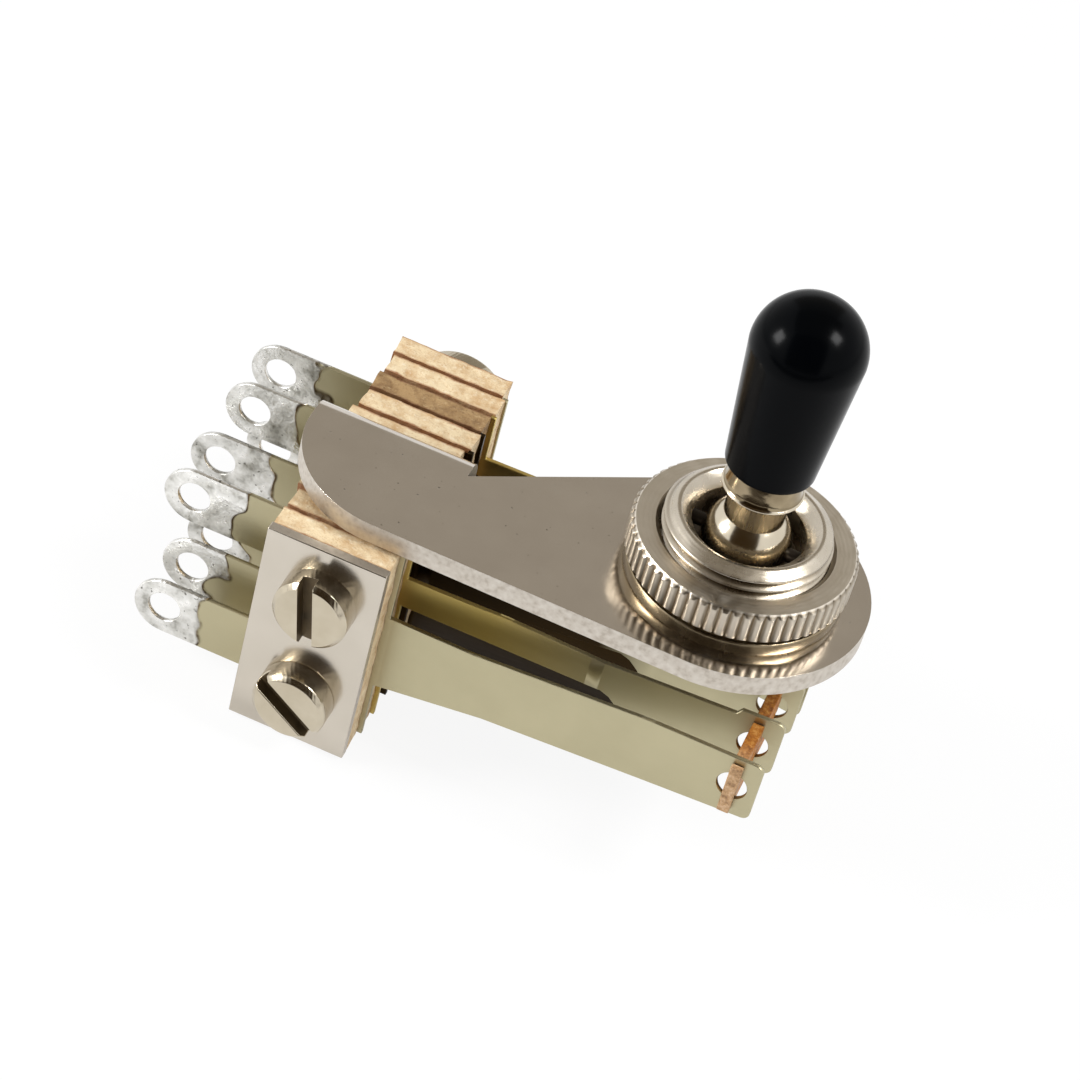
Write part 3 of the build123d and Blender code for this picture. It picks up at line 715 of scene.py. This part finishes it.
# the collar gets the painted brown reflection
marked(bm, lambda middle, _: 8.6 < middle.z < 10.3)
finished(
    bm, "turned_lever", lever_metal, ["lever"], "lever", second=collar_reflection_metal,
)

# The tip: a tapered moulding with a round end, bored for the lever's rod
wall_z = TIP_BOTTOM_Z + 0.25
profile = [(0.0, ROD_TOP_Z), (ROD_R, ROD_TOP_Z), (ROD_R, TIP_BOTTOM_Z), (2.85, TIP_BOTTOM_Z)]
profile += arc((TIP_BOTTOM_R - 0.22, TIP_BOTTOM_Z + 0.22), 0.22, -90, 0, 6)
profile += [
    (TIP_BOTTOM_R + (TIP_WIDE_R - TIP_BOTTOM_R) * t, wall_z + (TIP_WIDE_Z - wall_z) * t)
    for t in (0.03, 0.25, 0.5, 0.75, 0.97)
]
profile += arc((0, TIP_WIDE_Z), TIP_WIDE_R, 0, 90, 28)
bm = turned(profile, 128, join=False)
curved(bm, 0.1, 40.0)
finished(bm, "moulded_tip", tip_plastic, ["lever_tip"], "lever")


def rounded(node, name, width_mm, material, body="frame", second=None, chosen=None):
    # a small piece whose CAD shape is right, only rounded at its edges
    bm = copied(node)
    curved(bm)
    softened(bm, width_mm, segments=4)
    if second:
        marked(bm, chosen)
    finished(bm, name, material, [node], body, second=second)


rounded(
    "cover_plate", "ground_cover", 0.14, cover_metal,
    second=rim_metal, chosen=lambda _, normal: abs(normal.y) < RIM_LEAN,
)

# The screws' heads face forward. The walls and floor of a slot are the faces
# that lie sunk behind the head's face and inside its outer wall; they are
# painted dark as shade.
SLOT_FROM, SLOT_TO = 0.3, 1.3
HEAD_WALL = 0.35
for place in ("upper", "lower"):
    low, high = [Vector(corner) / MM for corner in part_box(f"{place}_stack_screw")]
    centre = (low + high) / 2
    slot_r = centre.x - low.x - HEAD_WALL
    rounded(
        f"{place}_stack_screw", f"{place}_slotted_screw", 0.2, screw_metal,
        second=slot_shade, chosen=lambda middle, _: (
            SLOT_FROM < middle.y - low.y < SLOT_TO
            and hypot(middle.x - centre.x, middle.z - centre.z) < slot_r
        ),
    )
for place in ("upper", "lower"):
    rounded(f"{place}_stack_nut", f"{place}_round_nut", 0.2, screw_metal)
rounded("lever_tail_cap", "nylon_tail_cap", 0.5, cap_nylon, "lever")

# The insulating plates: sawn blocks with slightly torn faces. Their edges are
# ragged: the saw took a mean 0.08 mm off, and up to 0.14 mm more in places.
EDGE_CUT, EDGE_TORN = 0.08, 0.14
EDGE_BAND = 0.08
for side in ("front", "rear"):
    for number in range(1, 6):
        node = f"{side}_insulator_{number}"
        low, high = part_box(node)
        bm = copied(node)
        for axis in (X, Z, Y):
            sliced(bm, axis, steps(low[axis] / MM, high[axis] / MM, 0.5))
        softened(bm, 0.06, segments=1, sharper_than=60)
        seed = Vector((0, number * 7.3 + (side == "rear") * 31.0, 0))
        for vert in bm.verts:
            spot = vert.co / MM
            rough = noise.noise(spot * 1.1 + seed) * 0.7 + noise.noise(spot * 3.1 + seed) * 0.3
            sunk = max(0.0, EDGE_CUT + rough * EDGE_TORN) * MM
            for axis in (X, Z):
                from_low = abs(vert.co[axis] - low[axis])
                from_high = abs(vert.co[axis] - high[axis])
                if min(from_low, from_high) < EDGE_BAND * MM:
                    vert.co[axis] += sunk if from_low < from_high else -sunk
        material, slot = tan_laminate, "tan_laminate"
        if node == "rear_insulator_3":
            material, slot = dark_laminate, "dark_laminate"
        finished(bm, f"sawn_{node}", material, [node], "frame")

# The leaves: punched sheet with fine burred edges. The spring leaves bend from
# the stack on, so they are cut across every millimetre up to their tips. Inside
# the stack a leaf ends a little below the tops of the plates.
BLADE_TIP_X = 7.2
LEAF_SUNK = 0.35
ends = (STACK_LEFT_X + 0.1, STACK_LEFT_X + 0.2, STACK_RIGHT_X - 0.2, STACK_RIGHT_X - 0.1)
for side in ("front", "rear"):
    for kind, metal in leaf_metals.items():
        node = f"{side}_{kind}"
        springs = kind != "inner_fixed_leaf"
        bm = copied(node)
        sliced(bm, X, ends)
        if springs:
            sliced(bm, X, steps(STACK_RIGHT_X + 0.3, BLADE_TIP_X, 1.0))
        curved(bm, 3.0)
        softened(bm, 0.05, segments=1, sharper_than=50)
        bends_with = f"{side}_lifter" if springs else None
        for vert in bm.verts:
            x, z = vert.co.x / MM, vert.co.z / MM
            if STACK_LEFT_X + 0.15 < x < STACK_RIGHT_X - 0.15 and z > STACK_TOP_Z - 0.3:
                vert.co.z -= LEAF_SUNK * MM
        finished(bm, f"punched_{node}", metal, [node], "frame", bends_with)

# The contact points and the lifters, which carry the spring leaves
for side in ("front", "rear"):
    for kind in ("fixed_contact", "spring_contact"):
        node = f"{side}_{kind}"
        bm = copied(node)
        curved(bm)
        bends_with = f"{side}_lifter" if kind == "spring_contact" else None
        finished(bm, f"silver_{node}", point_metal, [node], "frame", bends_with)
    node = f"{side}_lifter"
    bm = copied(node)
    softened(bm, 0.05, segments=1, sharper_than=50)
    finished(bm, f"punched_{node}", strip_laminate, [node], node)

# Nodes that keep their own shape and get their finish
for node, material in (
    ("pivot_pin", shaded_pin_steel),
    ("upper_screw_sleeve", sleeve_tube),
    ("lower_screw_sleeve", sleeve_tube),
):
    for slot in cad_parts[node].material_slots:
        slot.material = material


# Camera, light and floor

# The camera stands in front, a little to the right, and looks down by 42
# degrees. It is rolled, because the switch lies slanted in the picture.
azimuth, elevation, roll = radians(10.411), radians(41.589), radians(15.922)
target = Vector((-12.734, -4.327, 0.0)) * MM
distance = 253.55
back = Vector((sin(azimuth) * cos(elevation), -cos(azimuth) * cos(elevation), sin(elevation)))
level = Vector((cos(azimuth), sin(azimuth), 0.0))
upward = back.cross(level)
right = level * cos(roll) + upward * sin(roll)
top = -level * sin(roll) + upward * cos(roll)
turned_to = Matrix((right, top, back)).transposed().to_4x4()
lens = bpy.data.cameras.new("camera")
lens.sensor_width = 36.0
lens.lens = 124.739
lens.clip_start = 0.01
lens.clip_end = 20.0
camera = bpy.data.objects.new("camera", lens)
camera.matrix_world = Matrix.Translation(target + back * distance * MM) @ turned_to
bpy.context.scene.collection.objects.link(camera)
bpy.context.scene.camera = camera


def aimed(thing, place, toward):
    # stands a lamp or card at a place and turns it to look at a point, in mm
    place, toward = Vector(place) * MM, Vector(toward) * MM
    facing = (toward - place).to_track_quat("-Z", "Y").to_matrix().to_4x4()
    thing.matrix_world = Matrix.Translation(place) @ facing
    bpy.context.scene.collection.objects.link(thing)


def softbox(name, place, toward, side_mm, watts):
    # a square lamp
    lamp = bpy.data.lights.new(name, "AREA")
    lamp.shape = "SQUARE"
    lamp.size = side_mm * MM
    lamp.energy = watts
    aimed(bpy.data.objects.new(name, lamp), place, toward)


softbox("left_softbox", (-277, -129, 140), (0, 0, 10), 104, 0.85)
softbox("right_softbox", (205, 0, 262), (0, 0, 10), 94, 0.7)


def card(name, place, toward, size_mm, colour):
    # a plain card beside the set, which the plated metal mirrors; the camera
    # and the diffuse light don't see it
    bm = bmesh.new()
    bmesh.ops.create_grid(bm, x_segments=1, y_segments=1, size=0.5)
    bmesh.ops.scale(bm, vec=(size_mm[0] * MM, size_mm[1] * MM, 1), verts=bm.verts)
    mesh = bpy.data.meshes.new(name)
    bm.to_mesh(mesh)
    bm.free()
    material, tree, _ = new_finish(name)
    glow = add(tree, "Emission", {"Color": tone(colour), "Strength": 1.0})
    add(tree, "OutputMaterial", {"Surface": glow[0]})
    mesh.materials.append(material)
    thing = bpy.data.objects.new(name, mesh)
    aimed(thing, place, toward)
    thing.visible_camera = False
    thing.visible_diffuse = False
    thing.visible_shadow = False
    thing.visible_transmission = False


card("grey_card_behind", (-70, 330, 290), (-10, 0, 0), (460, 330), "#ada69b")
card("grey_card_above", (0, 40, 430), (0, 0, 0), (620, 520), "#938b7e")
card("brown_card_front", (20, -242, 140), (0, 0, 0), (400, 400), "#3a2d1b")
card("brown_card_on_floor", (20, -120, -19), (20, -119, 0), (420, 120), "#3a2d1b")

# The floor: plain and white. Part of its brightness is its own where the camera
# sees it, so that the shadow of the object stays light.
bm = bmesh.new()
bmesh.ops.create_grid(bm, x_segments=1, y_segments=1, size=4.0)
bmesh.ops.translate(bm, vec=(0, 0, FLOOR_Z * MM), verts=bm.verts)
mesh = bpy.data.meshes.new("floor")
bm.to_mesh(mesh)
bm.free()
material, tree, _ = new_finish("white_floor")
matt = add(tree, "BsdfDiffuse", {"Color": grey(0.9)})
glow = add(tree, "Emission", {"Color": grey(1.0), "Strength": 1.0})
path = add(tree, "LightPath")
share = add(tree, "Math", {0: path["Is Camera Ray"], 1: 0.45, 2: 0.45}, operation="MULTIPLY_ADD")
mixed = add(tree, "MixShader", {0: share[0], 1: matt[0], 2: glow[0]})
clear = add(tree, "BsdfTransparent")
under = add(tree, "NewGeometry")["Backfacing"]
whole = add(tree, "MixShader", {0: under, 1: mixed[0], 2: clear[0]})
add(tree, "OutputMaterial", {"Surface": whole[0]})
mesh.materials.append(material)
floor = bpy.data.objects.new("floor", mesh)
bpy.context.scene.collection.objects.link(floor)

# The world: white where the camera, metal or glass looks, softer as light
world = bpy.data.worlds.new("studio")
bpy.context.scene.world = world
world.use_nodes = True
tree = world.node_tree
tree.nodes.clear()
path = add(tree, "LightPath")
seen = add(tree, "Math", {0: path["Is Camera Ray"], 1: path["Is Glossy Ray"]}, operation="MAXIMUM")
seen = add(tree, "Math", {0: seen[0], 1: path["Is Transmission Ray"]}, operation="MAXIMUM")
strength = add(tree, "Math", {0: seen[0], 1: 0.45, 2: 0.55}, operation="MULTIPLY_ADD")
sky = add(tree, "Background", {"Color": grey(1.0), "Strength": strength[0]})
add(tree, "OutputWorld", {"Surface": sky[0]})

bpy.context.scene.view_settings.view_transform = "Standard"
